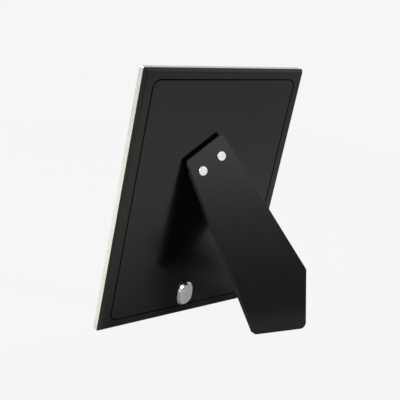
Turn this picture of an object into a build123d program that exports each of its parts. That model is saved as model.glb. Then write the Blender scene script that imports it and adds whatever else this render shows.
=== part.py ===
from build123d import *
import math
import os

# ---------------------------------------------------------------------------
# Easel back photo frame for a 13 x 18 cm print, standing upright on a table.
# Millimetres, +Z up, table at Z = 0. The picture faces -Y and leans back, the
# black back and the easel leg face +Y.
#
# Back coordinates: u to the right as seen from behind (world -X), v up the
# leaning back, w out of the back face. The back face is w = 0 and the bottom
# of the frame is v = 0.
# ---------------------------------------------------------------------------

# overall
WIDTH = 184.0
HEIGHT = 234.0
LEAN = 9.18            # degrees the frame leans back
RIM_T = 3.4            # black rim and back panel
SHELL_T = 5.7          # depth of the bright front shell
TOTAL_T = RIM_T + SHELL_T
CORNER_R = 1.3
Y_ORIGIN = -38.377     # world Y of the frame's bottom back line, centres the footprint

# front shell, glass and print
SHEET = 1.0
SIGHT_W, SIGHT_H = 124.0, 174.0
REBATE_W, REBATE_H = 131.0, 181.0
GLASS_T = 2.0
PRINT_T = 0.3
CARD_T = 1.0

# black rim and inset panel
BEVEL_IN = 2.3         # bevel across the back face
BEVEL_DEEP = 2.9       # bevel down the edge
GROOVE_SIDE = 10.2     # centre of the groove from the sides
GROOVE_END = 9.2       # centre of the groove from top and bottom
GAP = 1.1
SOFT = 0.2             # broken edges beside the groove
PANEL_R = 7.0

# easel leg and its diagonal hinge
AXIS_TILT = 34.25      # hinge line, degrees up to the right as seen from behind
OPENING = 24.5         # leg angle off the panel when it stands on its stop
LEG_T = 5.5
SIDE_LEAN = 8.1        # degrees the frame leans when it stands on its side
TOP_LINE = 50.09       # leg's top edge from the middle of the back, across the hinge line
TOP_W = 3.4            # outer face of the leg above the panel at its top edge
LEG_A = (-6.58, 0.0)   # outline: x along the hinge line, y up the leg
LEG_B = (35.83, 0.0)
LEG_C = (38.81, -151.28)
LEG_D = (8.83, -197.61)
LEG_E = (-37.89, -166.45)
RIVET_X = (1.88, 23.87)
RIVET_Y = -15.64
HEAD_R = 4.1
HEAD_T = 0.7
LAND = 1.5             # square part of the leg's top end, the rest is bevelled

PIN_R = 0.8
BARREL_R = 1.8
AXIS_W = 2.1           # hinge axis above the panel
LEAF_T = 0.8
HINGE_X = 12.9         # middle of the hinge along the hinge line
HINGE_LEN = 30.0
MID_BARREL = 13.0
FOLDED_W = 1.7         # inner face of the leg above the panel when folded

# latch
LATCH_U, LATCH_V = 0.2, 26.0
KNOB_L, KNOB_W = 23.6, 18.0
KNOB_TURN = 6.0        # degrees the oval is turned to the left on its spindle
KNOB_DROP = 4.35       # the knob's middle below its spindle
KNOB_BASE, KNOB_TOP = 0.35, 2.8
KNOB_SLOPE = 1.65      # bevel round the knob's face
NOTCH_AT = (-4.3, 7.4)   # mouth of the notch, from the spindle
NOTCH_TURN = 36.0      # degrees the notch runs to the right of straight down
NOTCH_DEEP = 2.7
TONGUE_L = 20.0

# ---------------------------------------------------------------------------
# frames of reference
# ---------------------------------------------------------------------------
cl, sl = math.cos(math.radians(LEAN)), math.sin(math.radians(LEAN))
cb, sb = math.cos(math.radians(AXIS_TILT)), math.sin(math.radians(AXIS_TILT))
cp, sp = math.cos(math.radians(OPENING)), math.sin(math.radians(OPENING))
Z_LIFT = -BEVEL_DEEP * sl   # the frame stands on the lowest line of its bottom edge, at w = -BEVEL_DEEP


def at(u, v, w):
    """World point of a place on the back."""
    return Vector(-u, Y_ORIGIN + v * sl + w * cl, Z_LIFT + v * cl - w * sl)


def along(u, v, w):
    """World direction of a direction on the back."""
    return Vector(-u, v * sl + w * cl, v * cl - w * sl)


def uvw(p):
    """Back coordinates of a world point."""
    q = p - at(0, 0, 0)
    return (-q.X, q.Y * sl + q.Z * cl, q.Y * cl - q.Z * sl)


back = Plane(origin=at(0, 0, 0), x_dir=along(1, 0, 0), z_dir=along(0, 0, 1))
out = Axis(at(0, 0, 0), along(0, 0, 1))

# hinge line a, across it p (up), leg direction and leg normal
dir_a = along(cb, sb, 0)
mid = (0.0, HEIGHT / 2)
top_u = mid[0] - sb * TOP_LINE
top_v = mid[1] + cb * TOP_LINE
leg_up = along(-sb * cp, cb * cp, -sp)
leg_out = along(-sb * sp, cb * sp, cp)
leg_plane = Plane(origin=at(top_u, top_v, TOP_W), x_dir=dir_a, z_dir=leg_out)
leg_section = Plane(origin=leg_plane.origin, x_dir=leg_up, z_dir=dir_a)

# hinge axis: across the hinge line from the leg's top edge, and in the leg
axis_s = (cp * TOP_W - LEG_T + (AXIS_W - FOLDED_W) - cp * AXIS_W) / sp
axis_y = axis_s * cp - (AXIS_W - TOP_W) * sp
axis_z = axis_s * sp + (AXIS_W - TOP_W) * cp
HEEL = (AXIS_W - 0.25 - (AXIS_W - FOLDED_W) * cp) / sp   # the heel meets the panel when the leg is open
axis_u = mid[0] - sb * (TOP_LINE + axis_s) + cb * HINGE_X
axis_v = mid[1] + cb * (TOP_LINE + axis_s) + sb * HINGE_X
hinge_plane = Plane(origin=at(axis_u, axis_v, 0), x_dir=dir_a, z_dir=along(0, 0, 1))
hinge_axis_plane = Plane(origin=at(axis_u, axis_v, AXIS_W), x_dir=along(-sb, cb, 0), z_dir=dir_a)


def leg_xyz(p):
    """Leg coordinates of a world point: along the hinge line, up the leg, out of the leg."""
    q = p - leg_plane.origin
    return (q.dot(dir_a), q.dot(leg_up), q.dot(leg_out))


def leg_point(x, y, z):
    return leg_plane.origin + dir_a * x + leg_up * y + leg_out * z


# landscape: the table then holds the frame's right edge and the leg's edge from C to D
side_lean = math.radians(SIDE_LEAN)
side_table = Plane(
    origin=at(WIDTH / 2, HEIGHT / 2, -BEVEL_DEEP),
    x_dir=along(0, 1, 0),
    z_dir=along(-math.cos(side_lean), 0, -math.sin(side_lean)),
)

os.makedirs("parts", exist_ok=True)

# ---------------------------------------------------------------------------
# frame
# ---------------------------------------------------------------------------
with BuildPart() as front_shell:
    with BuildSketch(back.offset(-TOTAL_T)):
        with Locations((0, HEIGHT / 2)):
            RectangleRounded(WIDTH, HEIGHT, CORNER_R)
    extrude(amount=SHELL_T)
    with BuildSketch(back.offset(-TOTAL_T + SHEET)):
        with Locations((0, HEIGHT / 2)):
            RectangleRounded(WIDTH - 2 * SHEET, HEIGHT - 2 * SHEET, CORNER_R - SHEET)
    extrude(amount=SHELL_T, mode=Mode.SUBTRACT)
    with BuildSketch(back.offset(-TOTAL_T)):
        with Locations((0, HEIGHT / 2)):
            RectangleRounded(SIGHT_W, SIGHT_H, 0.8)
    extrude(amount=SHEET, mode=Mode.SUBTRACT)
    front_edges = front_shell.edges().group_by(out)[0]
    fillet(front_edges.filter_by(lambda e: abs(uvw(e.center())[0]) > 70 or abs(uvw(e.center())[1] - HEIGHT / 2) > 95), 0.9)
    front_edges = front_shell.edges().group_by(out)[0]
    chamfer(front_edges.filter_by(lambda e: abs(uvw(e.center())[0]) < 66 and abs(uvw(e.center())[1] - HEIGHT / 2) < 90), 0.6)
front_shell.part.label = "front_shell"
export_step(front_shell.part, "parts/front_shell.step")

with BuildPart() as core_frame:
    with BuildSketch(back.offset(-TOTAL_T + SHEET)):
        with Locations((0, HEIGHT / 2)):
            RectangleRounded(WIDTH - 2 * SHEET - 0.4, HEIGHT - 2 * SHEET - 0.4, CORNER_R - SHEET - 0.2)
            Rectangle(REBATE_W, REBATE_H, mode=Mode.SUBTRACT)
    extrude(amount=SHELL_T - SHEET)
    # shallow pocket in the bottom rail in which the latch tongue turns
    with BuildSketch(back.offset(-RIM_T)):
        with Locations((7.5, 17.0)):
            Rectangle(28.0, 25.0)
    extrude(amount=-1.5, mode=Mode.SUBTRACT)
core_frame.part.label = "core_frame"
export_step(core_frame.part, "parts/core_frame.step")

with BuildPart() as glass_pane:
    with BuildSketch(back.offset(-TOTAL_T + SHEET)):
        with Locations((0, HEIGHT / 2)):
            Rectangle(REBATE_W - 0.6, REBATE_H - 0.6)
    extrude(amount=GLASS_T)
glass_pane.part.label = "glass_pane"
export_step(glass_pane.part, "parts/glass_pane.step")

with BuildPart() as photo_insert:
    with BuildSketch(back.offset(-TOTAL_T + SHEET + GLASS_T)):
        with Locations((0, HEIGHT / 2)):
            Rectangle(130.0, 180.0)
    extrude(amount=PRINT_T)
photo_insert.part.label = "photo_insert"
export_step(photo_insert.part, "parts/photo_insert.step")

with BuildPart() as backing_card:
    with BuildSketch(back.offset(-TOTAL_T + SHEET + GLASS_T + PRINT_T)):
        with Locations((0, HEIGHT / 2)):
            Rectangle(129.0, 179.0)
    extrude(amount=CARD_T)
backing_card.part.label = "backing_card"
export_step(backing_card.part, "parts/backing_card.step")

rim_open_w = WIDTH - 2 * (GROOVE_SIDE - GAP / 2)
rim_open_h = HEIGHT - 2 * (GROOVE_END - GAP / 2)
rim_open_v = GROOVE_END - GAP / 2
STRIKE_T = 0.6
STRIKE_L, STRIKE_H = 18.0, 6.0
strike_v = rim_open_v - STRIKE_H / 2
screw_spots = [(-6.5, strike_v), (6.5, strike_v)]

with BuildPart() as back_frame:
    with BuildSketch(back.offset(-RIM_T)):
        with Locations((0, HEIGHT / 2)):
            Rectangle(WIDTH, HEIGHT)
    extrude(amount=RIM_T - BEVEL_DEEP)
    with BuildSketch(back.offset(-BEVEL_DEEP)):
        with Locations((0, HEIGHT / 2)):
            Rectangle(WIDTH, HEIGHT)
    extrude(amount=BEVEL_DEEP, taper=math.degrees(math.atan(BEVEL_IN / BEVEL_DEEP)))
    with BuildSketch(back.offset(-RIM_T)):
        with Locations((0, HEIGHT / 2)):
            RectangleRounded(WIDTH, HEIGHT, CORNER_R)
    extrude(amount=RIM_T, mode=Mode.INTERSECT)
    with BuildSketch(back.offset(-RIM_T)):
        with Locations((0, HEIGHT / 2)):
            RectangleRounded(rim_open_w, rim_open_h, PANEL_R + GAP / 2)
    extrude(amount=RIM_T, mode=Mode.SUBTRACT)
    rim_edges = back_frame.edges().group_by(out)[-1]
    chamfer(rim_edges.filter_by(lambda e: abs(uvw(e.center())[0]) < rim_open_w / 2 + 0.1 and abs(uvw(e.center())[1] - HEIGHT / 2) < rim_open_h / 2 + 0.1), SOFT)
    with BuildSketch(back.offset(-RIM_T)):
        with Locations((0, strike_v)):
            Rectangle(STRIKE_L, STRIKE_H)
    extrude(amount=STRIKE_T, mode=Mode.SUBTRACT)
    with BuildSketch(back.offset(-RIM_T + STRIKE_T)):
        with Locations(*screw_spots):
            Circle(0.66)
    extrude(amount=1.7, mode=Mode.SUBTRACT)
back_frame.part.label = "back_frame"
export_step(back_frame.part, "parts/back_frame.step")

with BuildPart() as strike_plate:
    with BuildSketch(back.offset(-RIM_T)):
        with Locations((0, strike_v)):
            Rectangle(STRIKE_L, STRIKE_H)
    extrude(amount=STRIKE_T)
    with BuildSketch(back.offset(-RIM_T)):
        with Locations(*screw_spots):
            Circle(1.32)
    extrude(amount=STRIKE_T, taper=48, mode=Mode.SUBTRACT)
strike_plate.part.label = "strike_plate"
export_step(strike_plate.part, "parts/strike_plate.step")

with BuildPart() as strike_screws:
    with BuildSketch(back.offset(-RIM_T)):
        with Locations(*screw_spots):
            Circle(1.3)
    extrude(amount=STRIKE_T, taper=48)
    with BuildSketch(back.offset(-RIM_T)):
        with Locations(*screw_spots):
            Circle(0.62)
    extrude(amount=2.1)
strike_screws.part.label = "strike_screws"
export_step(strike_screws.part, "parts/strike_screws.step")

# ---------------------------------------------------------------------------
# back panel with the fixed half of the hinge
# ---------------------------------------------------------------------------
PANEL_RIVETS = [(-6.0, -16.5), (6.0, -16.5)]
PANEL_RIVET_R = 1.3

with BuildPart() as back_panel:
    with BuildSketch(back.offset(-RIM_T)):
        with Locations((0, HEIGHT / 2)):
            RectangleRounded(rim_open_w - 2 * GAP, rim_open_h - 2 * GAP, PANEL_R - GAP / 2)
    extrude(amount=RIM_T)
    chamfer(back_panel.edges().group_by(out)[-1], SOFT)
    with BuildSketch(back.offset(-RIM_T)):
        with Locations((LATCH_U, LATCH_V)):
            Circle(3.5)
    extrude(amount=RIM_T, mode=Mode.SUBTRACT)
    with BuildSketch(hinge_plane.offset(-RIM_T)):
        with Locations(*PANEL_RIVETS):
            Circle(PANEL_RIVET_R + 0.03)
    extrude(amount=RIM_T, mode=Mode.SUBTRACT)
back_panel.part.label = "back_panel"
export_step(back_panel.part, "parts/back_panel.step")

ear = (HINGE_LEN - MID_BARREL - 1.0) / 2
ear_x = MID_BARREL / 2 + 0.5 + ear / 2

with BuildPart() as hinge_fixed_leaf:
    with BuildSketch(hinge_plane):
        with Locations((0, -12.6)):
            RectangleRounded(HINGE_LEN, 20.0, 1.5)
        with Locations((-ear_x, -2.0), (ear_x, -2.0)):
            Rectangle(ear, 4.0)
    extrude(amount=LEAF_T)
    with BuildSketch(hinge_axis_plane.offset(-HINGE_LEN / 2)):
        Circle(BARREL_R)
    extrude(amount=ear)
    with BuildSketch(hinge_axis_plane.offset(HINGE_LEN / 2)):
        Circle(BARREL_R)
    extrude(amount=-ear)
    with BuildSketch(hinge_axis_plane):
        Circle(PIN_R + 0.03)
    extrude(amount=HINGE_LEN, both=True, mode=Mode.SUBTRACT)
    with BuildSketch(hinge_plane):
        with Locations(*PANEL_RIVETS):
            Circle(PANEL_RIVET_R + 0.03)
    extrude(amount=LEAF_T, mode=Mode.SUBTRACT)
hinge_fixed_leaf.part.label = "hinge_fixed_leaf"
export_step(hinge_fixed_leaf.part, "parts/hinge_fixed_leaf.step")

with BuildPart() as hinge_pin:
    with BuildSketch(hinge_axis_plane):
        Circle(PIN_R)
    extrude(amount=HINGE_LEN / 2 + 0.3, both=True)
    fillet(hinge_pin.edges(), 0.25)
hinge_pin.part.label = "hinge_pin"
export_step(hinge_pin.part, "parts/hinge_pin.step")

with BuildPart() as hinge_panel_rivets:
    with BuildSketch(hinge_plane.offset(LEAF_T)):
        with Locations(*PANEL_RIVETS):
            Circle(2.8)
    extrude(amount=0.5)
    fillet(hinge_panel_rivets.edges().group_by(out)[-1], 0.3)
    with BuildSketch(hinge_plane.offset(LEAF_T)):
        with Locations(*PANEL_RIVETS):
            Circle(PANEL_RIVET_R)
    extrude(amount=-(LEAF_T + RIM_T + 0.3))
    with BuildSketch(hinge_plane.offset(-RIM_T - 0.3)):
        with Locations(*PANEL_RIVETS):
            Circle(2.2)
    extrude(amount=-0.4)
hinge_panel_rivets.part.label = "hinge_panel_rivets"
export_step(hinge_panel_rivets.part, "parts/hinge_panel_rivets.step")

with BuildPart() as hinge_rivet_washers:
    with BuildSketch(hinge_plane.offset(-RIM_T)):
        with Locations(*PANEL_RIVETS):
            Circle(3.5)
            Circle(PANEL_RIVET_R + 0.03, mode=Mode.SUBTRACT)
    extrude(amount=-0.3)
hinge_rivet_washers.part.label = "hinge_rivet_washers"
export_step(hinge_rivet_washers.part, "parts/hinge_rivet_washers.step")

# ---------------------------------------------------------------------------
# easel leg with the moving half of the hinge
# ---------------------------------------------------------------------------
leg_rivet_spots = [(RIVET_X[0], RIVET_Y), (RIVET_X[1], RIVET_Y)]
LEG_RIVET_R = 1.6

# the outline runs past the two foot edges, which are then cut flush with the table
e_long = (LEG_E[0] + (LEG_E[0] - LEG_A[0]) * 0.25, LEG_E[1] + (LEG_E[1] - LEG_A[1]) * 0.25)
c_long = (LEG_C[0] + (LEG_C[0] - LEG_B[0]) * 0.5, LEG_C[1] + (LEG_C[1] - LEG_B[1]) * 0.5)

with BuildPart() as easel_leg:
    with BuildSketch(leg_plane):
        with BuildLine():
            Polyline(LEG_A, LEG_B, c_long, e_long, close=True)
        make_face()
    extrude(amount=-LEG_T)
    split(bisect_by=Plane.XY, keep=Keep.TOP)
    split(bisect_by=side_table, keep=Keep.TOP)
    for spot, radius in ((LEG_A, 1.4), (LEG_B, 4.5), (LEG_C, 1.0), (LEG_D, 6.0), (LEG_E, 2.2)):
        near = easel_leg.edges().filter_by(lambda e: abs(leg_xyz(e @ 0)[2] - leg_xyz(e @ 1)[2]) > LEG_T - 0.1)
        near = near.sort_by(lambda e: math.dist(leg_xyz(e.center())[:2], spot))[:1]
        fillet(near, radius)
    # top end: square land, then a bevel that clears the panel and the hinge barrels
    with BuildSketch(leg_section):
        with BuildLine():
            Polyline((0.5, -LAND), (0.0, -LAND), (-(LEG_T - LAND) * cp / sp, -LEG_T), (-(LEG_T - LAND) * cp / sp, -LEG_T - 1), (0.5, -LEG_T - 1), close=True)
        make_face()
    extrude(amount=120, both=True, mode=Mode.SUBTRACT)
    with BuildSketch(leg_section):
        with Locations((axis_y, axis_z)):
            Circle(BARREL_R + 0.6)
    extrude(amount=120, both=True, mode=Mode.SUBTRACT)
    # seat of the moving leaf
    with BuildSketch(leg_plane.offset(-LEG_T)):
        with Locations((HINGE_X, -16.0)):
            Rectangle(HINGE_LEN + 0.4, 22.4)
    extrude(amount=LEAF_T, mode=Mode.SUBTRACT)
    with BuildSketch(leg_plane):
        with Locations(*leg_rivet_spots):
            Circle(LEG_RIVET_R + 0.03)
    extrude(amount=-LEG_T, mode=Mode.SUBTRACT)
    face_edges = easel_leg.edges().filter_by(lambda e: abs(leg_xyz(e.center())[2]) < 0.01 and abs(leg_xyz(e @ 0)[2]) < 0.01 and math.dist(leg_xyz(e.center())[:2], leg_rivet_spots[0]) > 3 and math.dist(leg_xyz(e.center())[:2], leg_rivet_spots[1]) > 3)
    fillet(face_edges, 0.5)
easel_leg.part.label = "easel_leg"
export_step(easel_leg.part, "parts/easel_leg.step")

with BuildPart() as hinge_moving_leaf:
    with BuildSketch(leg_plane.offset(-LEG_T)):
        with Locations((HINGE_X, (axis_y - 2.6 - 27.0) / 2)):
            Rectangle(HINGE_LEN, axis_y - 2.6 + 27.0)
        with Locations((HINGE_X, axis_y + (HEEL - 3.0) / 2)):
            Rectangle(MID_BARREL, HEEL + 3.0)
    extrude(amount=LEAF_T)
    with BuildSketch(hinge_axis_plane):
        Circle(BARREL_R)
    extrude(amount=MID_BARREL / 2, both=True)
    with BuildSketch(hinge_axis_plane):
        Circle(PIN_R + 0.05)
    extrude(amount=HINGE_LEN, both=True, mode=Mode.SUBTRACT)
    with BuildSketch(leg_plane.offset(-LEG_T)):
        with Locations(*leg_rivet_spots):
            Circle(LEG_RIVET_R + 0.03)
    extrude(amount=LEAF_T, mode=Mode.SUBTRACT)
hinge_moving_leaf.part.label = "hinge_moving_leaf"
export_step(hinge_moving_leaf.part, "parts/hinge_moving_leaf.step")

leg_axis_out = Axis(leg_plane.origin, leg_out)
with BuildPart() as leg_rivets:
    with BuildSketch(leg_plane):
        with Locations(*leg_rivet_spots):
            Circle(HEAD_R)
    extrude(amount=HEAD_T)
    fillet(leg_rivets.edges().group_by(leg_axis_out)[-1], 0.25)
    with BuildSketch(leg_plane):
        with Locations(*leg_rivet_spots):
            Circle(LEG_RIVET_R)
    extrude(amount=-LEG_T)
    with BuildSketch(leg_plane.offset(-LEG_T)):
        with Locations(*leg_rivet_spots):
            Circle(2.75)
    extrude(amount=-0.5)
leg_rivets.part.label = "leg_rivets"
export_step(leg_rivets.part, "parts/leg_rivets.step")

# ---------------------------------------------------------------------------
# latch
# ---------------------------------------------------------------------------
latch = Plane(origin=at(LATCH_U, LATCH_V, 0), x_dir=along(1, 0, 0), z_dir=along(0, 0, 1))
SPINDLE_R = 2.0

with BuildPart() as latch_knob:
    with BuildSketch(latch.offset(KNOB_BASE)):
        with Locations((0, -KNOB_DROP)):
            SlotOverall(KNOB_L, KNOB_W, rotation=90 + KNOB_TURN)
    extrude(amount=KNOB_TOP - KNOB_BASE)
    chamfer(latch_knob.edges().group_by(out)[-1], KNOB_SLOPE)
    # index notch to the left of the upper end
    with BuildSketch(latch.offset(KNOB_TOP)):
        with Locations(Location((*NOTCH_AT, 0), (0, 0, NOTCH_TURN))):
            Polygon((-1.9, 1.5), (-0.5, -NOTCH_DEEP), (0.5, -NOTCH_DEEP), (1.9, 1.5), align=None)
    extrude(amount=-(KNOB_TOP - KNOB_BASE), mode=Mode.SUBTRACT)
    with BuildSketch(latch):
        Circle(SPINDLE_R + 0.02)
    extrude(amount=1.7, mode=Mode.SUBTRACT)
latch_knob.part.label = "latch_knob"
export_step(latch_knob.part, "parts/latch_knob.step")

with BuildPart() as latch_washer:
    with BuildSketch(latch):
        Circle(5.6)
        Circle(3.0, mode=Mode.SUBTRACT)
    extrude(amount=0.3)
latch_washer.part.label = "latch_washer"
export_step(latch_washer.part, "parts/latch_washer.step")

with BuildPart() as latch_bush:
    with BuildSketch(latch.offset(-RIM_T)):
        Circle(3.5)
        Circle(SPINDLE_R + 0.05, mode=Mode.SUBTRACT)
    extrude(amount=RIM_T)
latch_bush.part.label = "latch_bush"
export_step(latch_bush.part, "parts/latch_bush.step")

with BuildPart() as latch_spindle:
    with BuildSketch(latch.offset(-RIM_T - 0.15)):
        Circle(SPINDLE_R)
    extrude(amount=RIM_T + 0.15 + 1.6)
    with BuildSketch(latch.offset(-RIM_T - 0.15)):
        Circle(1.5)
    extrude(amount=-0.7)
    with BuildSketch(latch.offset(-RIM_T - 0.85)):
        Circle(2.5)
    extrude(amount=-0.35)
latch_spindle.part.label = "latch_spindle"
export_step(latch_spindle.part, "parts/latch_spindle.step")

with BuildPart() as latch_tongue:
    with BuildSketch(latch.offset(-RIM_T - 0.15)):
        Circle(5.0)
        with Locations((TONGUE_L / 2 - 2.0, 0)):
            SlotOverall(TONGUE_L + 4.0, 8.0)
        Circle(1.52, mode=Mode.SUBTRACT)
    extrude(amount=-0.7)
latch_tongue.part.label = "latch_tongue"
export_step(latch_tongue.part, "parts/latch_tongue.step")
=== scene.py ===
import math

import bmesh
import bpy
from mathutils import Matrix, Vector


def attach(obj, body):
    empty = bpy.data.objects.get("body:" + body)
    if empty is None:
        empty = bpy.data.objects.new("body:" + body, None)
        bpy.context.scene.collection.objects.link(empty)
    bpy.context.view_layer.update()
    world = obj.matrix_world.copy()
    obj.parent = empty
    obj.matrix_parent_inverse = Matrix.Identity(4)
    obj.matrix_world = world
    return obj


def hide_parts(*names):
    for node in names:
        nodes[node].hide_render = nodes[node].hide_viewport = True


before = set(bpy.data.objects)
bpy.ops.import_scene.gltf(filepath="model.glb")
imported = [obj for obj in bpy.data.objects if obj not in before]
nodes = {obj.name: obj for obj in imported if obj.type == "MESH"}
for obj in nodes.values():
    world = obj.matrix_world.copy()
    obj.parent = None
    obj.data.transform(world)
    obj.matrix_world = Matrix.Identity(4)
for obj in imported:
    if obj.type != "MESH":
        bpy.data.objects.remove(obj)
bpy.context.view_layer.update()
scene = bpy.context.scene
scene.view_settings.view_transform = "Standard"
scene.view_settings.look = "None"
scene.view_settings.exposure = 0.0
scene.view_settings.gamma = 1.0

# ---------------------------------------------------------------------------
# the part's own measures, in millimetres and in back coordinates:
# u to the right as seen from behind, v up the leaning back, w out of the back
# ---------------------------------------------------------------------------
LEAN = math.radians(9.18)
SL, CL = math.sin(LEAN), math.cos(LEAN)
WIDTH, HEIGHT = 184.0, 234.0
RIM_T, SHELL_T, SHEET = 3.4, 5.7, 1.0
TOTAL_T = RIM_T + SHELL_T
CORNER_R = 1.3
BEVEL_IN, BEVEL_DEEP = 2.3, 2.9
GROOVE_SIDE, GROOVE_END, GAP = 10.2, 9.2, 1.1
PANEL_R = 7.0
Y0, Z0 = -38.377, -BEVEL_DEEP * SL


def at(u, v, w):
    return Vector((-u, Y0 + v * SL + w * CL, Z0 + v * CL - w * SL)) * 0.001


def along(u, v, w):
    return Vector((-u, v * SL + w * CL, v * CL - w * SL))


TILT = math.radians(34.25)
OPENING = math.radians(24.5)
CB, SB = math.cos(TILT), math.sin(TILT)
CP, SP = math.cos(OPENING), math.sin(OPENING)
LEG_T, TOP_LINE, TOP_W, LAND = 5.5, 50.09, 3.4, 1.5
LEG_A, LEG_B, LEG_C, LEG_E = (-6.58, 0.0), (35.83, 0.0), (38.81, -151.28), (-37.89, -166.45)
SIDE_LEAN = math.radians(8.1)
RIVETS = ((1.88, -15.64), (23.87, -15.64))
HINGE_X = 12.9
AXIS_W, FOLDED_W = 2.1, 1.7
LATCH_U, LATCH_V = 0.2, 26.0

leg_o = at(-SB * TOP_LINE, HEIGHT / 2 + CB * TOP_LINE, TOP_W)
leg_x = along(CB, SB, 0)
leg_y = along(-SB * CP, CB * CP, -SP)
leg_z = along(-SB * SP, CB * SP, CP)
axis_s = (CP * TOP_W - LEG_T + (AXIS_W - FOLDED_W) - CP * AXIS_W) / SP
axis_y = axis_s * CP - (AXIS_W - TOP_W) * SP
axis_z = axis_s * SP + (AXIS_W - TOP_W) * CP


def on_leg(x, y, z):
    return leg_o + (leg_x * x + leg_y * y + leg_z * z) * 0.001


def on_latch(x, y, z):
    return at(LATCH_U + x, LATCH_V + y, z)


def on_back(x, y, z):
    return at(x, HEIGHT / 2 + y, z)


# ---------------------------------------------------------------------------
# mesh helpers
# ---------------------------------------------------------------------------
def rounded(corners, radii, steps):
    """Closed counter-clockwise outline with rounded corners, steps + 1 points at each corner."""
    pts = []
    n = len(corners)
    for i in range(n):
        p = Vector(corners[i])
        a = (Vector(corners[i - 1]) - p).normalized()
        b = (Vector(corners[(i + 1) % n]) - p).normalized()
        half = a.angle(b) / 2
        r = radii[i]
        centre = p + (a + b).normalized() * (r / math.sin(half))
        start = p + a * (r / math.tan(half)) - centre
        turn = math.pi - 2 * half
        for k in range(steps + 1):
            t = turn * k / steps
            c, s = math.cos(t), math.sin(t)
            pts.append((centre.x + start.x * c - start.y * s, centre.y + start.x * s + start.y * c))
    return pts


def oblong(w, h, r, steps=10):
    x, y = w / 2, h / 2
    return rounded(((x, -y), (x, y), (-x, y), (-x, -y)), (r,) * 4, steps)


def loft(rings, place, close=False):
    """Skin over rings of (outline, height). An open skin gets a face at each end."""
    verts, faces = [], []
    n = len(rings[0][0])
    for outline, z in rings:
        verts += [place(x, y, z) for x, y in outline]
    count = len(rings)
    for i in range(count if close else count - 1):
        a, b = i * n, (i + 1) % count * n
        for j in range(n):
            k = (j + 1) % n
            faces.append((a + j, a + k, b + k, b + j))
    if not close:
        faces.append(tuple(range(n))[::-1])
        faces.append(tuple(range((count - 1) * n, count * n)))
    return verts, faces


def lathe(profile, place, cx, cy, steps=64):
    """Turned shape from (radius, height) pairs, closed on the axis at both ends."""
    rings = []
    for r, z in profile:
        rings.append(([(cx + r * math.cos(2 * math.pi * k / steps), cy + r * math.sin(2 * math.pi * k / steps)) for k in range(steps)], z))
    return loft(rings, place)


def solid(name, *skins):
    mesh = bpy.data.meshes.new(name)
    verts, faces = [], []
    for v, f in skins:
        base = len(verts)
        verts += v
        faces += [tuple(base + i for i in face) for face in f]
    mesh.from_pydata(verts, [], faces)
    bm = bmesh.new()
    bm.from_mesh(mesh)
    bmesh.ops.remove_doubles(bm, verts=bm.verts, dist=1e-7)
    bmesh.ops.recalc_face_normals(bm, faces=bm.faces)
    bm.to_mesh(mesh)
    bm.free()
    obj = bpy.data.objects.new(name, mesh)
    scene.collection.objects.link(obj)
    return obj


def cut(obj, *tools):
    """Takes the tools out of obj and throws them away."""
    for tool in tools:
        m = obj.modifiers.new("cut", "BOOLEAN")
        m.operation = "DIFFERENCE"
        m.solver = "EXACT"
        m.object = tool
    bpy.context.view_layer.update()
    done = bpy.data.meshes.new_from_object(obj.evaluated_get(bpy.context.evaluated_depsgraph_get()))
    obj.modifiers.clear()
    old = obj.data
    obj.data = done
    done.name = obj.name
    bpy.data.meshes.remove(old)
    for tool in tools:
        bpy.data.objects.remove(tool)


def soften(obj, limit=32.0):
    """Smooth shading that leaves flat faces flat: each corner's normal follows the largest face around it."""
    mesh = obj.data
    mesh.polygons.foreach_set("use_smooth", [True] * len(mesh.polygons))
    least = math.cos(math.radians(limit))
    around = [[] for _ in mesh.vertices]
    for p in mesh.polygons:
        for v in p.vertices:
            around[v].append(p.index)
    normals = [Vector(p.normal) for p in mesh.polygons]
    areas = [p.area * 1e6 + 1e-9 for p in mesh.polygons]
    out = []
    for p in mesh.polygons:
        own = normals[p.index]
        for v in p.vertices:
            total = Vector((0.0, 0.0, 0.0))
            for q in around[v]:
                if normals[q].dot(own) > least:
                    total += normals[q] * areas[q] ** 2
            out.append(total.normalized() if total.length > 0 else own)
    mesh.normals_split_custom_set(out)


def arc(r, steps, a0=0.0, a1=90.0):
    """(inset, drop) pairs of a rounded edge of radius r, from the wall to the face."""
    out = []
    for k in range(steps + 1):
        a = math.radians(a0 + (a1 - a0) * k / steps)
        out.append((r * (1 - math.cos(a)), r * (1 - math.sin(a))))
    return out


# ---------------------------------------------------------------------------
# pieces that stand for CAD nodes, with finer rounding
# ---------------------------------------------------------------------------
def ring(w, h, r, z):
    return oblong(w, h, r), z


def inset_ring(i, z, least=0.3):
    return oblong(WIDTH - 2 * i, HEIGHT - 2 * i, max(CORNER_R - i, least)), z


# black rim: wall, bevel with softened edges, flat face, softened groove edge, inner wall
slope = math.atan2(BEVEL_DEEP, BEVEL_IN)
rim = [inset_ring(0.0, -RIM_T), inset_ring(0.0, -BEVEL_DEEP - 0.14)]
rim += [inset_ring(0.03, -BEVEL_DEEP - 0.01), inset_ring(0.1, -BEVEL_DEEP + 0.126)]
edge_r = 0.8
reach = edge_r * math.tan(slope / 2)
for k in range(6):
    a = slope * (1 - k / 5)
    rim.append(inset_ring(BEVEL_IN + reach - edge_r * math.sin(a), -edge_r * (1 - math.cos(a)), 0.35))
open_w, open_h = WIDTH - 2 * GROOVE_SIDE + GAP, HEIGHT - 2 * GROOVE_END + GAP
for i, d in reversed(arc(0.2, 4)):
    rim.append(ring(open_w + 2 * i, open_h + 2 * i, PANEL_R + GAP / 2 + i, -d))
rim.append(ring(open_w, open_h, PANEL_R + GAP / 2, -RIM_T))
rim_piece = solid("rim", loft(rim, on_back, close=True))
strike_y = GROOVE_END - GAP / 2 - 3.0 - HEIGHT / 2
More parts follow.
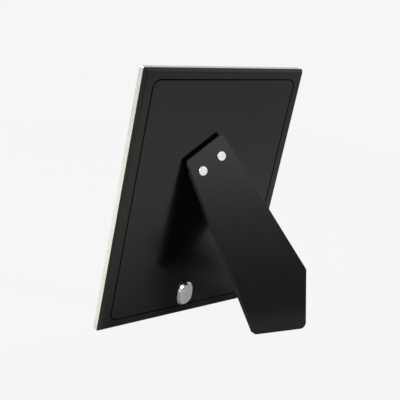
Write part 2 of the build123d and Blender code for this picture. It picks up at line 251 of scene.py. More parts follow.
pocket = solid("tool_a", loft([([(x, strike_y + y) for x, y in oblong(18.04, 6.04, 0.02, 2)], z) for z in (-RIM_T - 1, -RIM_T + 0.62)], on_back))
holes = [solid("tool_b", lathe(((0.66, -RIM_T - 0.5), (0.66, -RIM_T + 2.3)), on_back, x, strike_y, 24)) for x in (-6.5, 6.5)]
cut(rim_piece, pocket, *holes)

# back panel
panel_w, panel_h = open_w - 2 * GAP, open_h - 2 * GAP
plate = [ring(panel_w - 0.2, panel_h - 0.2, PANEL_R - GAP / 2 - 0.1, -RIM_T), ring(panel_w, panel_h, PANEL_R - GAP / 2, -RIM_T + 0.1)]
for i, d in arc(0.2, 4):
    plate.append(ring(panel_w - 2 * i, panel_h - 2 * i, PANEL_R - GAP / 2 - i, -d))
panel_piece = solid("panel", loft(plate, on_back))
hinge_o = at(-SB * (TOP_LINE + axis_s) + CB * HINGE_X, HEIGHT / 2 + CB * (TOP_LINE + axis_s) + SB * HINGE_X, 0)


def on_hinge(x, y, z):
    return hinge_o + (along(CB, SB, 0) * x + along(-SB, CB, 0) * y + along(0, 0, 1) * z) * 0.001


drills = [solid("tool_c", lathe(((3.52, -RIM_T - 1), (3.52, 1)), on_latch, 0, 0, 64))]
drills += [solid("tool_d", lathe(((1.34, -RIM_T - 1), (1.34, 1)), on_hinge, x, -16.5, 32)) for x in (-6.0, 6.0)]
cut(panel_piece, *drills)

# bright front shell
front = -TOTAL_T
shell = [inset_ring(0.0, -RIM_T - 0.06), inset_ring(0.0, front + 0.9)]
for i, d in arc(0.9, 6)[1:]:
    shell.append(inset_ring(i, front + d))
sight_w, sight_h = 124.0, 174.0
shell.append(ring(sight_w + 1.5, sight_h + 1.5, 1.4, front))
shell.append(ring(sight_w + 1.1, sight_h + 1.1, 1.2, front + 0.08))
shell.append(ring(sight_w + 0.1, sight_h + 0.1, 0.85, front + 0.55))
shell.append(ring(sight_w, sight_h, 0.8, front + 0.65))
shell.append(ring(sight_w, sight_h, 0.8, front + SHEET))
shell.append(ring(WIDTH - 2 * SHEET, HEIGHT - 2 * SHEET, CORNER_R - SHEET, front + SHEET))
shell.append(ring(WIDTH - 2 * SHEET, HEIGHT - 2 * SHEET, CORNER_R - SHEET, -RIM_T - 0.06))
shell.append(inset_ring(0.06, -RIM_T))
shell_piece = solid("shell", loft(shell, on_back, close=True))

# glass, a hair clear of the print behind it
pane = []
for i, z in ((0.3, 0.02), (0.0, 0.3), (0.0, 1.6), (0.3, 1.9)):
    pane.append(ring(130.4 - 2 * i, 180.4 - 2 * i, 0.6, front + SHEET + z))
glass_piece = solid("glass", loft(pane, on_back))

# easel leg: the outline at each depth, cut by the table for both ways of standing
side_o = at(WIDTH / 2, HEIGHT / 2, -BEVEL_DEEP)
side_n = along(-math.cos(SIDE_LEAN), 0, -math.sin(SIDE_LEAN))


def line(p, q):
    """a, b, c of the line through p and q, positive on its left."""
    a, b = p[1] - q[1], q[0] - p[0]
    k = math.hypot(a, b)
    return a / k, b / k, -(a * p[0] + b * p[1]) / k


def foot(normal, point, z):
    """Where a plane cuts the leg at depth z, positive on the side that is kept."""
    a, b = normal.dot(leg_x), normal.dot(leg_y)
    c = normal.dot(on_leg(0, 0, z) - point) * 1000
    k = math.hypot(a, b)
    return a / k, b / k, c / k


def meet(l, m):
    d = l[0] * m[1] - m[0] * l[1]
    return ((l[1] * m[2] - m[1] * l[2]) / d, (m[0] * l[2] - l[0] * m[2]) / d)


def leg_outline(z, inset):
    top_y = 0.0 if z > -LAND else (z + LAND) * CP / SP
    left = line(LEG_A, LEG_E)
    bottom = foot(Vector((0, 0, 1)), Vector((0, 0, 0)), z)
    side = foot(side_n, side_o, z)
    right = line(LEG_C, LEG_B)
    top = (0.0, -1.0, top_y)
    lines = [(a, b, c - inset) for a, b, c in (left, bottom, side, right, top)]
    corners = [meet(lines[i - 1], lines[i]) for i in range(5)]
    return rounded(corners, [max(r - inset, 0.15) for r in (1.4, 2.2, 6.0, 1.0, 4.5)], 12)


leg_rings = [(leg_outline(-LEG_T, 0.22), -LEG_T), (leg_outline(-LEG_T + 0.065, 0.065), -LEG_T + 0.065), (leg_outline(-LEG_T + 0.22, 0.0), -LEG_T + 0.22)]
leg_rings.append((leg_outline(-LAND - 0.001, 0.0), -LAND))
for i, d in arc(0.35, 5):
    leg_rings.append((leg_outline(-d, i), -d))
leg_piece = solid("leg", loft(leg_rings, on_leg))


def across(x, y, z):
    """Section of the leg: x up the leg, y out of the leg, z along the hinge line."""
    return on_leg(z, x, y)


channel = solid("tool_e", lathe(((2.4, -80.0), (2.4, 120.0)), across, axis_y, axis_z, 64))
seat = solid("tool_f", loft([([(HINGE_X + x, -16.0 + y) for x, y in oblong(30.4, 22.4, 0.05, 2)], z) for z in (-LEG_T - 1, -LEG_T + 0.8)], on_leg))
bores = [solid("tool_g", lathe(((1.63, -LEG_T - 1), (1.63, 1)), on_leg, x, y, 32)) for x, y in RIVETS]
cut(leg_piece, channel, seat, *bores)

# rivets through the leg
rivet = [(0.02, -LEG_T - 0.5), (2.35, -LEG_T - 0.5), (2.65, -LEG_T - 0.4), (2.75, -LEG_T - 0.2), (2.75, -LEG_T), (1.6, -LEG_T), (1.6, 0.0), (4.1, 0.0), (4.1, 0.45)]
rivet += [(4.1 - i, 0.7 - d) for i, d in arc(0.25, 5)[1:]]
rivet += [(3.0, 0.7), (0.02, 0.7)]
rivet_piece = solid("rivets", *[lathe(rivet, on_leg, x, y, 72) for x, y in RIVETS])

# latch knob: bevelled oval with a notch to the left of its upper end
KNOB_L, KNOB_W, DROP = 23.6, 18.0, 4.35
KNOB_TURN, NOTCH_TURN = math.radians(6.0), math.radians(36.0)


def knob_ring(i, z):
    """The oval drawn in by i, at height z."""
    c, s = math.cos(KNOB_TURN), math.sin(KNOB_TURN)
    return [(x * c - y * s, x * s + y * c - DROP) for x, y in oblong(KNOB_W - 2 * i, KNOB_L - 2 * i, KNOB_W / 2 - i - 0.01, 20)], z


def on_notch(x, y, z):
    c, s = math.cos(NOTCH_TURN), math.sin(NOTCH_TURN)
    return on_latch(-4.3 + x * c - y * s, 7.4 + x * s + y * c, z)


knob = [knob_ring(0.12, 0.35), knob_ring(0.0, 0.47), knob_ring(0.0, 1.05), knob_ring(0.03, 1.15), knob_ring(0.1, 1.25)]
knob += [knob_ring(1.35, 2.5), knob_ring(1.45, 2.59), knob_ring(1.57, 2.67), knob_ring(1.72, 2.735), knob_ring(1.9, 2.78), knob_ring(2.1, 2.8)]
knob_piece = solid("knob", loft(knob, on_latch))
notch = solid("tool_h", loft([(rounded(((0.5, -2.7), (1.9, 1.5), (-1.9, 1.5), (-0.5, -2.7)), (0.3, 0.01, 0.01, 0.3), 6), z) for z in (-0.5, 4.0)], on_notch))
socket = solid("tool_i", lathe(((2.02, -0.5), (2.02, 1.7)), on_latch, 0, 0, 40))
cut(knob_piece, notch, socket)

for obj, node, body, slot in (
    (shell_piece, "front_shell", "frame", "silver_plate"),
    (glass_piece, "glass_pane", "frame", "picture_glass"),
    (rim_piece, "back_frame", "frame", "black_lacquer_rim"),
    (panel_piece, "back_panel", "panel", "black_lacquer_panel"),
    (leg_piece, "easel_leg", "leg", "black_lacquer_leg"),
    (rivet_piece, "leg_rivets", "leg", "nickel_rivet"),
    (knob_piece, "latch_knob", "latch", "nickel_knob"),
):
    soften(obj)
    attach(obj, body)
    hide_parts(node)


# ---------------------------------------------------------------------------
# node helpers
# ---------------------------------------------------------------------------
class Tree:
    """A material's node tree with short calls for the nodes used here. Sizes are in millimetres on the object."""

    def __init__(self, name):
        self.mat = bpy.data.materials.new(name)
        self.mat.use_nodes = True
        self.t = self.mat.node_tree
        self.t.nodes.clear()
        self.out = self.t.nodes.new("ShaderNodeOutputMaterial")
        self.bsdf = self.t.nodes.new("ShaderNodeBsdfPrincipled")
        self.link(self.bsdf.outputs["BSDF"], self.out.inputs["Surface"])
        self.coord = None

    def node(self, kind, **props):
        n = self.t.nodes.new(kind)
        for k, v in props.items():
            setattr(n, k, v)
        return n

    def link(self, a, b):
        self.t.links.new(a, b)

    def set(self, **values):
        for k, v in values.items():
            self.bsdf.inputs[k.replace("_", " ")].default_value = v
        return self

    def put(self, socket, output):
        self.link(output, self.bsdf.inputs[socket])
        return self

    def place(self, stretch=(1.0, 1.0, 1.0), turn=(0.0, 0.0, 0.0), shift=(0.0, 0.0, 0.0)):
        """Object coordinates in millimetres, turned and then stretched."""
        if self.coord is None:
            self.coord = self.node("ShaderNodeTexCoord")
        m = self.node("ShaderNodeMapping")
        m.vector_type = "POINT"
        m.inputs["Rotation"].default_value = turn
        m.inputs["Scale"].default_value = (1000.0, 1000.0, 1000.0)
        self.link(self.coord.outputs["Object"], m.inputs["Vector"])
        if tuple(stretch) == (1.0, 1.0, 1.0) and tuple(shift) == (0.0, 0.0, 0.0):
            return m.outputs["Vector"]
        s = self.node("ShaderNodeMapping")
        s.inputs["Scale"].default_value = stretch
        s.inputs["Location"].default_value = shift
        self.link(m.outputs["Vector"], s.inputs["Vector"])
        return s.outputs["Vector"]

    def dot(self, a, b):
        """Length of vector a along the fixed direction b."""
        n = self.node("ShaderNodeVectorMath", operation="DOT_PRODUCT")
        self.link(a, n.inputs[0])
        n.inputs[1].default_value = b
        return n.outputs["Value"]

    def noise(self, size, detail=3.0, rough=0.5, warp=0.0, at=None):
        """Noise whose features are about size millimetres across."""
        n = self.node("ShaderNodeTexNoise")
        n.inputs["Scale"].default_value = 1.0 / size
        n.inputs["Detail"].default_value = detail
        n.inputs["Roughness"].default_value = rough
        n.inputs["Distortion"].default_value = warp
        self.link(at if at is not None else self.place(), n.inputs["Vector"])
        return n.outputs["Fac"]

    def cells(self, size, feature="F1", at=None, spread=1.0):
        n = self.node("ShaderNodeTexVoronoi", feature=feature)
        n.inputs["Scale"].default_value = 1.0 / size
        n.inputs["Randomness"].default_value = spread
        self.link(at if at is not None else self.place(), n.inputs["Vector"])
        return n.outputs["Distance"]

    def ramp(self, fac, *stops, ease="LINEAR"):
        """stops are (place, grey or colour)."""
        n = self.node("ShaderNodeValToRGB")
        n.color_ramp.interpolation = ease
        e = n.color_ramp.elements
        while len(e) < len(stops):
            e.new(0.5)
        for i, (p, c) in enumerate(stops):
            e[i].position = p
            e[i].color = (c, c, c, 1.0) if isinstance(c, (int, float)) else (*c, 1.0)
        self.link(fac, n.inputs["Fac"])
        return n.outputs["Color"]

    def span(self, value, a, b, lo, hi, clamp=True):
        n = self.node("ShaderNodeMapRange", clamp=clamp)
        for i, v in enumerate((a, b, lo, hi)):
            n.inputs[i + 1].default_value = v
        self.link(value, n.inputs["Value"])
        return n.outputs["Result"]

    def math(self, op, a, b=None):
        n = self.node("ShaderNodeMath", operation=op)
        for i, v in enumerate((a, b)):
            if v is None:
                continue
            if isinstance(v, (int, float)):
                n.inputs[i].default_value = v
            else:
                self.link(v, n.inputs[i])
        return n.outputs["Value"]

    def mix(self, fac, a, b, how="MIX"):
        n = self.node("ShaderNodeMix", data_type="RGBA", blend_type=how)
        for sock, v in (("Factor", fac), ("A", a), ("B", b)):
            i = [s for s in n.inputs if s.name == sock and s.enabled][0]
            if isinstance(v, (int, float)):
                i.default_value = v
            elif isinstance(v, tuple):
                i.default_value = (*v, 1.0)
            else:
                self.link(v, i)
        return [s for s in n.outputs if s.enabled][0]

    def bump(self, height, depth, under=None):
        """height 0..1 becomes a relief of depth millimetres."""
        n = self.node("ShaderNodeBump")
        n.inputs["Strength"].default_value = 1.0
        n.inputs["Distance"].default_value = depth / 1000.0
        self.link(height, n.inputs["Height"])
        if under is not None:
            self.link(under, n.inputs["Normal"])
        return n.outputs["Normal"]

    def hairs(self, width, length, turn, share):
        """Fine straight scratches, 1 in the scratch."""
        at = self.place(stretch=(1.0 / width, 1.0 / length, 1.0 / width), turn=turn)
        n = self.node("ShaderNodeTexNoise")
        n.inputs["Scale"].default_value = 1.0
        n.inputs["Detail"].default_value = 2.0
        self.link(at, n.inputs["Vector"])
        return self.ramp(n.outputs["Fac"], (1.0 - share - 0.04, 0.0), (1.0 - share, 1.0))


# ---------------------------------------------------------------------------
# finishes
# ---------------------------------------------------------------------------
def black_lacquer(name, dark, light, rough_lo, rough_hi, seed, matte=None):
    """Sprayed black lacquer: faint cloud in tone and gloss, orange peel, a slow waviness of the board, dust and hairlines."""
    t = Tree(name)
    cloud = t.noise(24.0, 4.0, 0.55, at=t.place(shift=(seed, seed * 0.7, seed * 1.3)))
    fine = t.noise(0.8, 3.0, 0.6, at=t.place(shift=(seed, 0.0, 0.0)))
    tone = t.ramp(cloud, (0.32, dark), (0.68, light))
    dust = t.ramp(t.cells(3.1, at=t.place(shift=(seed, seed, 0.0))), (0.016, 1.0), (0.034, 0.0))
    base = t.mix(t.math("MULTIPLY", dust, 0.035), tone, (0.5, 0.5, 0.48))
    wall = None
    if matte is not None:
        # sawn edges take the lacquer less well and stay a flat dark grey
        wall = t.span(t.math("ABSOLUTE", t.dot(t.coord.outputs["Normal"], tuple(matte[1]))), 0.3, 0.55, 1.0, 0.0)
        base = t.mix(wall, base, (0.030, 0.029, 0.028))
    t.put("Base Color", base)
    mixed = t.math("ADD", t.math("MULTIPLY", cloud, 0.65), t.math("MULTIPLY", fine, 0.35))
    hair = t.hairs(0.12, 26.0, (0.3, 0.4, 0.5 + seed), 0.26)
    gloss = t.span(mixed, 0.35, 0.65, rough_lo, rough_hi)
    gloss = t.math("ADD", gloss, t.math("MULTIPLY", hair, 0.015))
    if matte is not None:
        # the face turned to the panel is left flat
        point, normal, depth = matte
        out = t.math("SUBTRACT", t.dot(t.place(), tuple(normal)), point.dot(normal) * 1000)
        dull = t.span(out, -depth + 0.1, -depth + 0.3, 1.0, 0.0)
        gloss = t.math("ADD", gloss, t.math("MULTIPLY", t.math("MAXIMUM", dull, wall), 0.8))
    t.put("Roughness", gloss)
    peel = t.noise(1.5, 2.0, 0.5)
    wave = t.noise(16.0, 2.0, 0.4, at=t.place(shift=(0.0, seed, 0.0)))
    n1 = t.bump(wave, 0.022)
    t.put("Normal", t.bump(peel, 0.0016, under=n1))
    t.set(IOR=1.5)
    return t.mat


def metal(name, base, worn, rough_lo, rough_hi, cloud_mm=9.0, grain=1.2, relief=0.003, hair=0.0, turn=(0.0, 0.0, 0.6), blasted=None):
    t = Tree(name)
    cloud = t.noise(cloud_mm, 4.0, 0.55)
    fine = t.noise(0.3, 3.0, 0.6)
    t.put("Base Color", t.ramp(cloud, (0.3, base), (0.75, worn)))
    mixed = t.math("ADD", t.math("MULTIPLY", cloud, 0.5), t.math("MULTIPLY", fine, 0.5))
    gloss = t.span(mixed, 0.35, 0.65, rough_lo, rough_hi)
    height = t.noise(grain, 3.0, 0.6)
    if hair:
        lines = t.math("ADD", t.hairs(0.09, 22.0, turn, 0.3), t.hairs(0.09, 30.0, (turn[0], turn[1], turn[2] + 1.2), 0.27))
        gloss = t.math("ADD", gloss, t.math("MULTIPLY", lines, hair))
    if blasted is not None:
        # the face is blasted, the bevels are bright
        flat = t.span(t.dot(t.coord.outputs["Normal"], blasted), 0.975, 0.998, 0.0, 1.0)
        gloss = t.math("ADD", gloss, t.math("MULTIPLY", flat, 0.62))
    t.put("Roughness", gloss)
    t.put("Normal", t.bump(height, relief))
    t.set(Metallic=1.0)
    return t.mat


def fibre(name, dark, mid, light, size, relief, groove_shade_w=None):
    """Pressed fibres: board or card. From the given height above the back coordinates' w = 0 it is painted black, a
    painted shade for the bottom of the groove between rim and panel.
    """
    t = Tree(name)
    strand = t.noise(size, 5.0, 0.65, 1.2, at=t.place(stretch=(1.0, 0.45, 1.0)))
    cloud = t.noise(size * 14, 3.0, 0.5)
    chip = t.ramp(t.cells(size * 1.7), (0.05, 0.7), (0.3, 0.0))
    tone = t.ramp(strand, (0.3, dark), (0.52, mid), (0.75, light))
    tone = t.mix(t.math("MULTIPLY", cloud, 0.35), tone, mid)
    tone = t.mix(t.math("MULTIPLY", chip, 0.35), tone, dark)
    if groove_shade_w is not None:
        # painted shade: the board's back face is black where the groove between rim and panel looks down on it
        w = t.math("SUBTRACT", t.dot(t.place(), (0.0, CL, -SL)), Y0 * CL - Z0 * SL)
        tone = t.mix(t.span(w, groove_shade_w, groove_shade_w + 0.08, 0.0, 1.0), tone, (0.002, 0.002, 0.002))
    t.put("Base Color", tone)
    t.put("Roughness", t.span(strand, 0.3, 0.7, 0.72, 0.9))
    t.put("Normal", t.bump(strand, relief))
    return t.mat


def enamel(name):
    """Black enamelled steel, worn to grey on fine specks."""
    t = Tree(name)
    cloud = t.noise(5.0, 4.0, 0.6)
    speck = t.ramp(t.cells(1.4), (0.05, 1.0), (0.1, 0.0))
    t.put("Base Color", t.mix(t.math("MULTIPLY", speck, 0.25), t.ramp(cloud, (0.3, 0.006), (0.7, 0.014)), (0.3, 0.3, 0.3)))
    t.put("Roughness", t.span(cloud, 0.35, 0.65, 0.28, 0.42))
    t.put("Normal", t.bump(t.noise(0.7, 2.0, 0.5), 0.004))
    return t.mat


def print_picture(name):
    """A generic printed view: sky, sun haze and layered hills."""
    t = Tree(name)
    mm = t.place()
    x = t.dot(mm, (1.0, 0.0, 0.0))
    v = t.math("SUBTRACT", t.dot(mm, (0.0, SL, CL)), Y0 * SL + Z0 * CL)
    sky = t.ramp(t.span(v, 95.0, 210.0, 0.0, 1.0), (0.0, (0.93, 0.72, 0.48)), (0.3, (0.80, 0.72, 0.66)), (0.65, (0.42, 0.56, 0.70)), (1.0, (0.16, 0.33, 0.55)))
    cloud = t.noise(30.0, 5.0, 0.6, 0.6, at=t.place(stretch=(0.5, 1.0, 1.6)))
    colour = t.mix(t.ramp(cloud, (0.5, 0.0), (0.72, 0.55)), sky, (0.93, 0.88, 0.82))
    hills = (
        (128.0, 26.0, 46.0, 3.0, (0.50, 0.56, 0.62), (0.62, 0.62, 0.60)),
        (108.0, 24.0, 36.0, 17.0, (0.27, 0.37, 0.42), (0.38, 0.45, 0.44)),
        (86.0, 22.0, 28.0, 41.0, (0.12, 0.22, 0.22), (0.20, 0.29, 0.22)),
        (64.0, 18.0, 22.0, 63.0, (0.045, 0.10, 0.07), (0.11, 0.16, 0.06)),
    )
    for level, swing, size, seed, far, near in hills:
        along_x = t.node("ShaderNodeCombineXYZ")
        t.link(x, along_x.inputs[0])
        along_x.inputs[2].default_value = seed
        ridge = t.span(t.noise(size, 4.0, 0.55, at=along_x.outputs["Vector"]), 0.2, 0.8, level - swing, level + swing)
        depth = t.math("SUBTRACT", ridge, v)
        body = t.ramp(t.span(depth, 0.0, 40.0, 0.0, 1.0), (0.0, far), (1.0, near))
        tufts = t.noise(2.4, 4.0, 0.6, at=t.place(shift=(seed, 0.0, 0.0)))
        body = t.mix(t.span(tufts, 0.45, 0.75, 0.0, 0.45), body, tuple(c * 0.55 for c in far))
        colour = t.mix(t.span(depth, -0.15, 0.15, 0.0, 1.0), colour, body)
    dots = t.noise(0.25, 2.0, 0.5)
    t.put("Base Color", t.mix(0.06, colour, t.ramp(dots, (0.3, 0.2), (0.7, 0.9))))
    t.put("Roughness", t.span(dots, 0.3, 0.7, 0.34, 0.46))
    t.put("Normal", t.bump(dots, 0.001))
    return t.mat


finish_of = {
    "black_lacquer_rim": black_lacquer("black_lacquer_rim", (0.0011, 0.0010, 0.0009), (0.0020, 0.0019, 0.0017), 0.14, 0.19, 3.0),
    "black_lacquer_panel": black_lacquer("black_lacquer_panel", (0.0010, 0.0010, 0.0008), (0.0018, 0.0018, 0.0014), 0.12, 0.165, 11.0),
    "black_lacquer_leg": black_lacquer("black_lacquer_leg", (0.0010, 0.0010, 0.0011), (0.0018, 0.0018, 0.0019), 0.09, 0.12, 23.0, (leg_o, leg_z, LEG_T)),
    "silver_plate": metal("silver_plate", (0.78, 0.765, 0.74), (0.74, 0.725, 0.70), 0.26, 0.34, 22.0, 3.0, 0.002, 0.05),
    "zinc_steel": metal("zinc_steel", (0.62, 0.63, 0.64), (0.48, 0.48, 0.49), 0.28, 0.42, 4.0, 0.5, 0.004),
    "brass_bush": metal("brass_bush", (0.80, 0.60, 0.28), (0.62, 0.44, 0.19), 0.22, 0.36, 3.0, 0.4, 0.003),
    "nickel_rivet": metal("nickel_rivet", (0.88, 0.875, 0.855), (0.81, 0.805, 0.785), 0.16, 0.26, 3.0, 0.8, 0.003, 0.06),
    "nickel_knob": metal("nickel_knob", (0.98, 0.98, 0.98), (0.84, 0.84, 0.84), 0.12, 0.20, 2.6, 1.6, 0.014, 0.05, blasted=(0.0, CL, -SL)),
    "black_steel": enamel("black_steel"),
    "core_board": fibre("core_board", (0.20, 0.13, 0.07), (0.36, 0.25, 0.15), (0.50, 0.37, 0.24), 0.9, 0.05, -RIM_T - 0.12),
    "grey_card": fibre("grey_card", (0.30, 0.29, 0.26), (0.42, 0.41, 0.37), (0.52, 0.51, 0.47), 0.5, 0.02),
    "print_paper": print_picture("print_paper"),
}

glass = Tree("picture_glass")
glass.set(Base_Color=(0.97, 0.99, 0.98, 1.0), Transmission_Weight=1.0, IOR=1.5)
smear = glass.noise(18.0, 4.0, 0.6, 0.5)
glass.put("Roughness", glass.span(smear, 0.45, 0.8, 0.0, 0.05))
glass.put("Normal", glass.bump(glass.noise(40.0, 1.0, 0.4), 0.004))
finish_of["picture_glass"] = glass.mat

slot_of = {
    "front_shell": "silver_plate",
    "core_frame": "core_board",
    "glass_pane": "picture_glass",
    "photo_insert": "print_paper",
    "backing_card": "grey_card",
    "back_frame": "black_lacquer_rim",
    "strike_plate": "zinc_steel",
    "strike_screws": "zinc_steel",
    "back_panel": "black_lacquer_panel",
    "hinge_fixed_leaf": "black_steel",
    "hinge_pin": "zinc_steel",
    "hinge_panel_rivets": "black_steel",
    "hinge_rivet_washers": "zinc_steel",
    "latch_bush": "brass_bush",
    "latch_washer": "zinc_steel",
    "easel_leg": "black_lacquer_leg",
    "hinge_moving_leaf": "black_steel",
    "leg_rivets": "nickel_rivet",
    "latch_knob": "nickel_knob",
    "latch_spindle": "zinc_steel",
    "latch_tongue": "zinc_steel",
}
for name, obj in nodes.items():
    obj.data.materials.clear()
    obj.data.materials.append(finish_of[slot_of[name]])
for obj, node in ((shell_piece, "front_shell"), (glass_piece, "glass_pane"), (rim_piece, "back_frame"), (panel_piece, "back_panel"), (leg_piece, "easel_leg"), (rivet_piece, "leg_rivets"), (knob_piece, "latch_knob")):
    obj.data.materials.clear()
    obj.data.materials.append(finish_of[slot_of[node]])


# ---------------------------------------------------------------------------
# floor, light and camera
# ---------------------------------------------------------------------------
PALE = 0.9216  # the backdrop's tone as the camera sees it

# a pale table top: as lit for the object, plain for the camera
floor_mesh = bpy.data.meshes.new("floor")
floor_mesh.from_pydata([(-1.0, -1.0, 0), (1.0, -1.0, 0), (1.0, 0.62, 0), (-1.0, 0.62, 0)], [], [(0, 1, 2, 3)])
floor = bpy.data.objects.new("floor", floor_mesh)
floor.location.z = -0.0002
scene.collection.objects.link(floor)
ft = Tree("floor_paper")
paper = ft.ramp(ft.noise(60.0, 3.0), (0.3, (0.80, 0.815, 0.755)), (0.7, (0.82, 0.835, 0.775)))
# painted shade and light in the paper's colour: darker behind the frame, to the side and round the foot of the leg,
# lighter in front of the frame
mm = ft.place()
off_foot = ft.node("ShaderNodeVectorMath", operation="DISTANCE")
ft.link(mm, off_foot.inputs[0])
off_foot.inputs[1].default_value = (-76.0, 47.0, 0.0)
x_mm, y_mm = ft.dot(mm, (1.0, 0.0, 0.0)), ft.dot(mm, (0.0, 1.0, 0.0))
side = ft.ramp(ft.span(x_mm, -100.0, 900.0, 0.0, 1.0), (0.14, 0.0), (0.205, 0.30), (0.32, 0.23), (0.5, 0.13), (0.8, 0.0))
# painted shade: the paper darker behind the frame than in front of it
share = ft.span(y_mm, -60.0, -10.0, 1.06, 0.82)
share = ft.math("MULTIPLY", share, ft.math("SUBTRACT", 1.0, ft.math("MULTIPLY", side, ft.span(y_mm, -60.0, -25.0, 0.0, 1.0))))
share = ft.math("MULTIPLY", share, ft.span(x_mm, -500.0, -250.0, 0.85, 1.0))
# painted contact shadow round the foot of the leg
share = ft.math("MULTIPLY", share, ft.span(off_foot.outputs["Value"], 12.0, 50.0, 0.25, 1.0))
# a painted shadow in a band from the frame's foot to the leg's, and a painted pool of light beside it
shade_streak = ft.span(ft.math("ABSOLUTE", ft.math("ADD", ft.dot(mm, (0.846, 0.534, 0.0)), 15.4)), 3.0, 28.0, 0.48, 0.0)
shade_streak = ft.math("MULTIPLY", shade_streak, ft.span(ft.dot(mm, (-0.534, 0.846, 0.0)), 22.0, 38.0, 1.0, 0.0))
share = ft.math("MULTIPLY", share, ft.math("SUBTRACT", 1.0, shade_streak))
# painted pool of light beside that band
light_pool_dist = ft.node("ShaderNodeVectorMath", operation="DISTANCE")
ft.link(mm, light_pool_dist.inputs[0])
light_pool_dist.inputs[1].default_value = (-64.0, -15.0, 0.0)
share = ft.math("MULTIPLY", share, ft.span(light_pool_dist.outputs["Value"], 8.0, 42.0, 1.45, 1.0))
# base colour: the paper's tone times all the painted shade and light above
ft.put("Base Color", ft.mix(1.0, paper, share, "MULTIPLY"))
ft.set(Roughness=0.05, IOR=1.5)
flat = ft.node("ShaderNodeEmission")
flat.inputs["Color"].default_value = (PALE, PALE, PALE, 1.0)
seen = ft.node("ShaderNodeLightPath")
blend = ft.node("ShaderNodeMixShader")
ft.link(ft.math("MULTIPLY", seen.outputs["Is Camera Ray"], 0.985), blend.inputs["Fac"])
ft.link(ft.bsdf.outputs["BSDF"], blend.inputs[1])
ft.link(flat.outputs["Emission"], blend.inputs[2])
# the table ends softly behind the easel leg
gone = ft.node("ShaderNodeBsdfTransparent")
fade = ft.node("ShaderNodeMixShader")
far = ft.math("ADD", ft.math("MULTIPLY", ft.math("MINIMUM", x_mm, 0.0), 0.35), ft.math("MULTIPLY", y_mm, 0.937))
ft.link(ft.span(far, 310.0, 400.0, 0.0, 1.0), fade.inputs["Fac"])
ft.link(blend.outputs["Shader"], fade.inputs[1])
ft.link(gone.outputs["BSDF"], fade.inputs[2])
ft.link(fade.outputs["Shader"], ft.out.inputs["Surface"])
floor_mesh.materials.append(ft.mat)

# studio walls: dim below and at the table's level, bright above it, dimmer overhead
world = bpy.data.worlds.new("studio")
scene.world = world
world.use_nodes = True
wt = world.node_tree
wt.nodes.clear()
w_out = wt.nodes.new("ShaderNodeOutputWorld")
w_dir = wt.nodes.new("ShaderNodeTexCoord")
w_xyz = wt.nodes.new("ShaderNodeSeparateXYZ")
wt.links.new(w_dir.outputs["Generated"], w_xyz.inputs["Vector"])
w_range = wt.nodes.new("ShaderNodeMapRange")
for i, v in enumerate((-1.0, 1.0, 0.0, 1.0)):
    w_range.inputs[i + 1].default_value = v
wt.links.new(w_xyz.outputs["Z"], w_range.inputs["Value"])
w_ramp = wt.nodes.new("ShaderNodeValToRGB")
stops = ((-1.0, 0.11), (-0.05, 0.12), (0.0, 0.16), (0.05, 0.235), (0.09, 0.39), (0.17, 0.82), (0.25, 0.92), (0.4, 0.4), (0.6, 0.16), (1.0, 0.1))
elements = w_ramp.color_ramp.elements
while len(elements) < len(stops):
    elements.new(0.5)
for i, (z, g) in enumerate(stops):
    elements[i].position = (z + 1) / 2
    elements[i].color = (g, g, g * 0.99, 1.0) if z > 0.06 else (g, g * 1.005, g * 0.93, 1.0)
wt.links.new(w_range.outputs["Result"], w_ramp.inputs["Fac"])
dome = wt.nodes.new("ShaderNodeBackground")
dome.inputs["Strength"].default_value = 1.5
# a bright wall to the side, seen in the upper edges
w_side = wt.nodes.new("ShaderNodeVectorMath")
w_side.operation = "DOT_PRODUCT"
w_side.inputs[1].default_value = (-0.75, -0.17, 0.64)
wt.links.new(w_dir.outputs["Generated"], w_side.inputs[0])
w_patch = wt.nodes.new("ShaderNodeMapRange")
w_patch.interpolation_type = "SMOOTHSTEP"
for i, v in enumerate((0.68, 0.90, 0.0, 0.41)):
    w_patch.inputs[i + 1].default_value = v
wt.links.new(w_side.outputs["Value"], w_patch.inputs["Value"])


def w_span(value, a, b, lo, hi):
    n = wt.nodes.new("ShaderNodeMapRange")
    n.interpolation_type = "SMOOTHSTEP"
    for i, v in enumerate((a, b, lo, hi)):
        n.inputs[i + 1].default_value = v
    wt.links.new(value, n.inputs["Value"])
    return n.outputs["Result"]


def w_mixed(how, fac, a, b):
    n = wt.nodes.new("ShaderNodeMix")
    n.data_type = "RGBA"
    n.blend_type = how
    for sock, v in (("Factor", fac), ("A", a), ("B", b)):
        i = [k for k in n.inputs if k.name == sock and k.enabled][0]
        if isinstance(v, float):
            i.default_value = v
        elif isinstance(v, tuple):
            i.default_value = v
        else:
            wt.links.new(v, i)
    return [k for k in n.outputs if k.enabled][0]


# the bright band lies on the leg's side of the room only
w_tone = w_mixed("MIX", w_span(w_xyz.outputs["Y"], 0.25, 0.75, 0.0, 1.0), (0.13, 0.13, 0.13, 1.0), w_ramp.outputs["Color"])
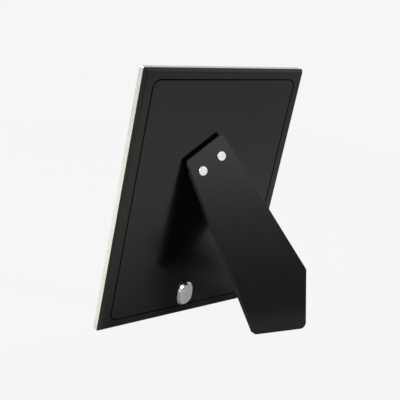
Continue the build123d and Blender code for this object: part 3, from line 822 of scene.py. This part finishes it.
# a pale low backdrop on the picture's side
w_low = w_mixed("MULTIPLY", 1.0, w_span(w_xyz.outputs["Y"], -0.65, -0.3, 1.0, 0.0), w_span(w_xyz.outputs["Z"], 0.2, 0.45, 1.0, 0.0))
w_tone = w_mixed("MIX", w_low, w_tone, (0.57, 0.565, 0.555, 1.0))
w_tone = w_mixed("LIGHTEN", 1.0, w_tone, w_patch.outputs["Result"])
wt.links.new(w_tone, dome.inputs["Color"])
plain = wt.nodes.new("ShaderNodeBackground")
plain.inputs["Color"].default_value = (PALE, PALE, PALE, 1.0)
w_mix = wt.nodes.new("ShaderNodeMixShader")
w_path = wt.nodes.new("ShaderNodeLightPath")
wt.links.new(w_path.outputs["Is Camera Ray"], w_mix.inputs["Fac"])
wt.links.new(dome.outputs[0], w_mix.inputs[1])
wt.links.new(plain.outputs[0], w_mix.inputs[2])
wt.links.new(w_mix.outputs[0], w_out.inputs["Surface"])

# soft box above the table
key_data = bpy.data.lights.new("softbox", "AREA")
key_data.shape = "SQUARE"
key_data.size = 1.1
key_data.energy = 9.0
key_data.color = (1.0, 0.99, 0.97)
key = bpy.data.objects.new("softbox", key_data)
key.location = (0.20, -0.30, 0.95)
key.rotation_euler = (Vector((0.0, 0.0, 0.0)) - key.location).to_track_quat("-Z", "Y").to_euler()
key.visible_camera = False
scene.collection.objects.link(key)

# smaller lamps: one over the front, one high behind the camera
for name, spot, aim, size, power in (
    ("front_lamp", (0.65, -0.65, 0.7), (0.45, -0.45, 0.0), 0.4, 3.6),
    ("eye_lamp", (0.48, 0.94, 0.54), (0.0, 0.0, 0.05), 0.22, 3.5),
):
    lamp_data = bpy.data.lights.new(name, "AREA")
    lamp_data.shape = "SQUARE"
    lamp_data.size = size
    lamp_data.energy = power
    lamp = bpy.data.objects.new(name, lamp_data)
    lamp.location = spot
    lamp.rotation_euler = (Vector(aim) - lamp.location).to_track_quat("-Z", "Y").to_euler()
    lamp.visible_camera = False
    scene.collection.objects.link(lamp)

# camera, placed from the back of the frame
cam_data = bpy.data.cameras.new("camera")
cam_data.lens = 78.377
cam_data.sensor_width = 36.0
cam_data.clip_start = 0.05
cam_data.clip_end = 50.0
cam = bpy.data.objects.new("camera", cam_data)
scene.collection.objects.link(cam)
scene.camera = cam
eye = at(-514.94, 379.03, 507.09)
right = along(0.74047, 0.19602, 0.64288).normalized()
ahead = along(0.66583, -0.34428, -0.66193).normalized()
up = right.cross(ahead).normalized()
right = ahead.cross(up).normalized()
cam.matrix_world = Matrix((
    (right.x, up.x, -ahead.x, eye.x),
    (right.y, up.y, -ahead.y, eye.y),
    (right.z, up.z, -ahead.z, eye.z),
    (0, 0, 0, 1),
))
